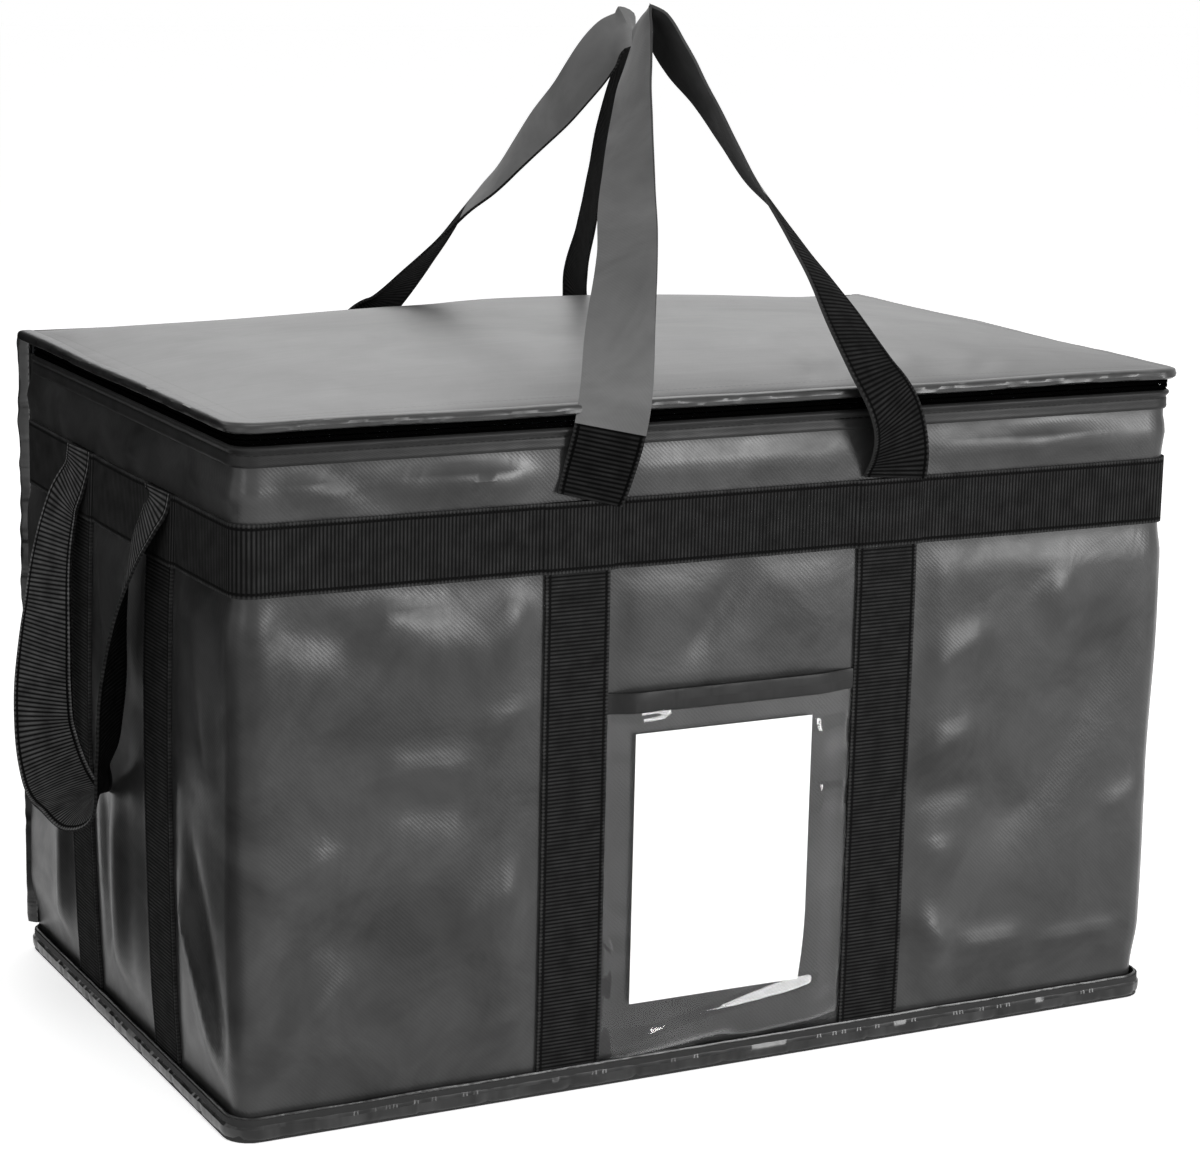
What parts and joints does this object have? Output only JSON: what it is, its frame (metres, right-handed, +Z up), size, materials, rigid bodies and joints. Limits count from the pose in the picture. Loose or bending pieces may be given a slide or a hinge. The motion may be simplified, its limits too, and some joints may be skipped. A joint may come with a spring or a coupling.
{
  "type": "insulated shopping bag",
  "caption": "Box-shaped insulated carrier bag with a foil liner, a zipped domed lid, webbing straps, carry handles, side handles and a clear front pocket.",
  "frame": {"origin": "middle of the underside, on the surface that the bag stands on", "axes": "+X along the front towards its right side, -Y out of the front wall with the pocket, +Z up"},
  "size_m": [0.666, 0.375, 0.5817],
  "materials": {
    "woven_fabric": "laminated woven polypropylene, satin",
    "lid_fabric": "laminated woven polypropylene, satin",
    "webbing": "ribbed polypropylene webbing",
    "handle_webbing": "fine twill webbing",
    "binding_tape": "glossy binding tape",
    "foam": "expanded polyethylene foam",
    "foil": "aluminised film on foam, crinkled",
    "clear_film": "clear flexible PVC film",
    "paper": "plain card",
    "base_panel": "stiff board",
    "zip_cloth": "woven zipper tape",
    "zip_plastic": "nylon coil",
    "zip_metal": "die-cast slider, dark nickel"
  },
  "bodies": {
    "bag": {"outer_wrap": "woven_fabric", "back_skin": "woven_fabric", "bottom_skin": "woven_fabric", "bottom_binding": "binding_tape", "back_left_binding": "binding_tape", "back_right_binding": "binding_tape", "foam_front": "foam", "foam_back": "foam", "foam_left": "foam", "foam_right": "foam", "foam_bottom": "foam", "foil_liner": "foil", "rim_hem": "woven_fabric", "front_band": "webbing", "back_band": "webbing", "front_left_strap": "webbing", "front_right_strap": "webbing", "back_left_strap": "webbing", "back_right_strap": "webbing", "left_front_strap": "webbing", "left_rear_strap": "webbing", "right_front_strap": "webbing", "right_rear_strap": "webbing", "pocket_window": "clear_film", "pocket_hem": "binding_tape", "lid_fold": "lid_fabric", "zip_tape_body": "zip_cloth", "zip_coil_body": "zip_plastic", "zip_stop_left": "zip_metal", "zip_stop_right": "zip_metal"},
    "lid": {"lid_liner": "foil", "lid_foam": "foam", "lid_skin": "lid_fabric", "lid_binding": "binding_tape", "zip_coil_lid": "zip_plastic", "zip_tape_lid": "zip_cloth"},
    "front_handle": {"front_handle": "handle_webbing"},
    "back_handle": {"back_handle": "handle_webbing"},
    "left_handle": {"left_handle": "handle_webbing"},
    "right_handle": {"right_handle": "handle_webbing"},
    "card": {"label_card": "paper"},
    "board": {"base_board": "base_panel"},
    "slider": {"zip_slider": "zip_metal"},
    "pull": {"zip_pull": "zip_metal"}
  },
  "joints": [
    {"name": "lid_hinge", "type": "hinge", "parent": "bag", "child": "lid", "pos_m": [0, 0.177, 0.372], "axis": [-1, 0, 0], "range_deg": [0, 229], "deforming": ["lid_fold", "front_handle", "back_handle"]},
    {"name": "front_handle_swing", "type": "hinge", "parent": "bag", "child": "front_handle", "pos_m": [0, -0.1751, 0.3273], "axis": [1, 0, 0], "range_deg": [0, 160]},
    {"name": "back_handle_swing", "type": "hinge", "parent": "bag", "child": "back_handle", "pos_m": [0, 0.1751, 0.3273], "axis": [-1, 0, 0], "range_deg": [0, 160]},
    {"name": "left_handle_swing", "type": "hinge", "parent": "bag", "child": "left_handle", "pos_m": [-0.2903, 0, 0.3273], "axis": [0, 1, 0], "range_deg": [0, 150]},
    {"name": "right_handle_swing", "type": "hinge", "parent": "bag", "child": "right_handle", "pos_m": [0.2903, 0, 0.3273], "axis": [0, -1, 0], "range_deg": [0, 150]},
    {"name": "card_slide", "type": "slide", "parent": "bag", "child": "card", "axis": [0, 0, 1], "range_m": [0, 0.17]},
    {"name": "board_lift", "type": "slide", "parent": "bag", "child": "board", "axis": [0, 0, 1], "range_m": [0, 0.34]},
    {"name": "zip_slide", "type": "slide", "parent": "bag", "child": "slider", "axis": [0, -1, 0], "range_m": [0, 0.295]},
    {"name": "pull_swing", "type": "hinge", "parent": "slider", "child": "pull", "pos_m": [0.2909, 0.1475, 0.36926], "axis": [0, -1, 0], "range_deg": [0, 126]}
  ]
}
